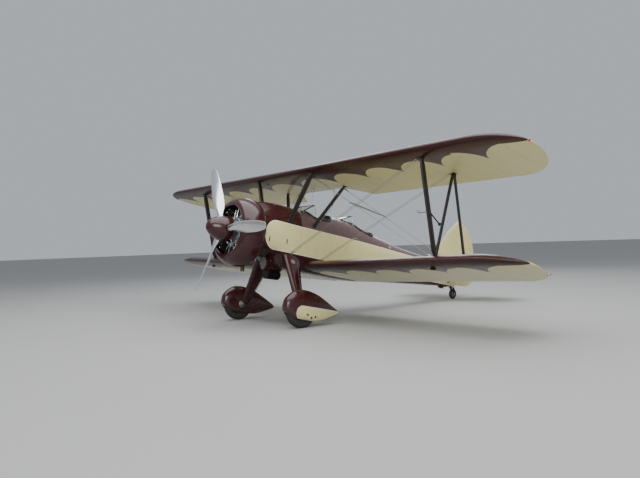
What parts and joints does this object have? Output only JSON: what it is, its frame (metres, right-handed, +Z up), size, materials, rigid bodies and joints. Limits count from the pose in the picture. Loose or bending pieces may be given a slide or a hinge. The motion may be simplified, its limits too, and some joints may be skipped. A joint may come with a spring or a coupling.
{
  "type": "two-seat open-cockpit biplane",
  "caption": "Tandem open-cockpit biplane with a ring-cowled radial engine, three-blade propeller, strutted wings, spatted main wheels and a steerable tail wheel.",
  "frame": {"origin": "on the floor, under the middle of the aircraft's outline", "axes": "+X to port along the span, -Y towards the nose, +Z up; the aircraft stands tail down on its three wheels"},
  "size_m": [9.7964, 7.4365, 2.8373],
  "materials": {
    "maroon_paint": "gloss",
    "maroon_shell": "gloss",
    "maroon_fabric": "gloss",
    "cream_fabric": "gloss",
    "polished_blade": "polished",
    "engine_metal": "satin",
    "dark_steel": "gloss",
    "steel": "satin",
    "wheel_metal": "satin",
    "tyre": "matte",
    "cooler_metal": "satin",
    "seat_leather": "satin",
    "windshield": "clear"
  },
  "bodies": {
    "airframe": {"cowling": "maroon_paint", "accessory_cowl": "maroon_paint", "gear_leg_port": "maroon_paint", "gear_leg_starboard": "maroon_paint", "wheel_pant_port": "maroon_shell", "wheel_pant_starboard": "maroon_shell", "fuselage_forward": "maroon_fabric", "fuselage_aft": "maroon_fabric", "wing_centre_section": "cream_fabric", "wing_upper_port": "cream_fabric", "wing_upper_starboard": "cream_fabric", "wing_lower_port": "cream_fabric", "wing_lower_starboard": "cream_fabric", "fin": "cream_fabric", "stabiliser_port": "cream_fabric", "stabiliser_starboard": "cream_fabric", "engine": "engine_metal", "interplane_strut_port": "dark_steel", "interplane_strut_starboard": "dark_steel", "cabane_front_port": "dark_steel", "cabane_front_starboard": "dark_steel", "cabane_rear_port": "dark_steel", "cabane_rear_starboard": "dark_steel", "stabiliser_strut_port": "dark_steel", "stabiliser_strut_starboard": "dark_steel", "tail_spring": "dark_steel", "flying_wire_front_port": "steel", "flying_wire_front_starboard": "steel", "flying_wire_rear_port": "steel", "flying_wire_rear_starboard": "steel", "landing_wires_port": "steel", "landing_wires_starboard": "steel", "main_axle_port": "steel", "main_axle_starboard": "steel", "exhaust_stub": "steel", "oil_cooler": "cooler_metal", "seat_front": "seat_leather", "seat_rear": "seat_leather", "windshield_front": "windshield", "windshield_rear": "windshield"},
    "propeller": {"spinner": "maroon_paint", "propeller_blade_1": "polished_blade", "propeller_blade_2": "polished_blade", "propeller_blade_3": "polished_blade"},
    "wheel_port": {"main_tyre_port": "tyre", "main_rim_port": "wheel_metal"},
    "wheel_starboard": {"main_tyre_starboard": "tyre", "main_rim_starboard": "wheel_metal"},
    "aileron_port": {"aileron_port": "cream_fabric"},
    "aileron_starboard": {"aileron_starboard": "cream_fabric"},
    "rudder": {"rudder": "cream_fabric"},
    "elevator": {"elevator": "cream_fabric"},
    "tail_steering": {"tail_fork": "dark_steel"},
    "tail_wheel": {"tail_tyre": "tyre"}
  },
  "joints": [
    {"name": "propeller_spin", "type": "hinge", "parent": "airframe", "child": "propeller", "pos_m": [0, -3.40327, 1.7257], "axis": [0, 0.9793, -0.2026], "continuous": true},
    {"name": "wheel_port_spin", "type": "hinge", "parent": "airframe", "child": "wheel_port", "pos_m": [0.989, -2.52722, 0.3037], "axis": [1, 0, 0], "continuous": true},
    {"name": "wheel_starboard_spin", "type": "hinge", "parent": "airframe", "child": "wheel_starboard", "pos_m": [-0.989, -2.52722, 0.3037], "axis": [1, 0, 0], "continuous": true},
    {"name": "aileron_port_hinge", "type": "hinge", "parent": "airframe", "child": "aileron_port", "pos_m": [3, -0.83593, 0.80932], "axis": [0.9996, 0.0058, 0.0282], "range_deg": [-20, 20]},
    {"name": "aileron_starboard_hinge", "type": "hinge", "parent": "airframe", "child": "aileron_starboard", "pos_m": [-3, -0.83593, 0.80932], "axis": [0.9996, -0.0058, -0.0282], "range_deg": [-20, 20]},
    {"name": "rudder_hinge", "type": "hinge", "parent": "airframe", "child": "rudder", "pos_m": [0, 3.01982, 1.00942], "axis": [0, 0.2026, 0.9793], "range_deg": [-30, 30]},
    {"name": "elevator_hinge", "type": "hinge", "parent": "airframe", "child": "elevator", "pos_m": [0, 2.77264, 0.70315], "axis": [1, 0, 0], "range_deg": [-20, 28]},
    {"name": "tail_wheel_steer", "type": "hinge", "parent": "airframe", "child": "tail_steering", "pos_m": [0, 2.725, 0.3], "axis": [0, 0, 1], "range_deg": [-30, 30]},
    {"name": "tail_wheel_spin", "type": "hinge", "parent": "tail_steering", "child": "tail_wheel", "pos_m": [0, 2.787, 0.1207], "axis": [1, 0, 0], "continuous": true}
  ],
  "couplings": [
    {"joint": "aileron_starboard_hinge", "follows": "aileron_port_hinge", "ratio": -1}
  ]
}
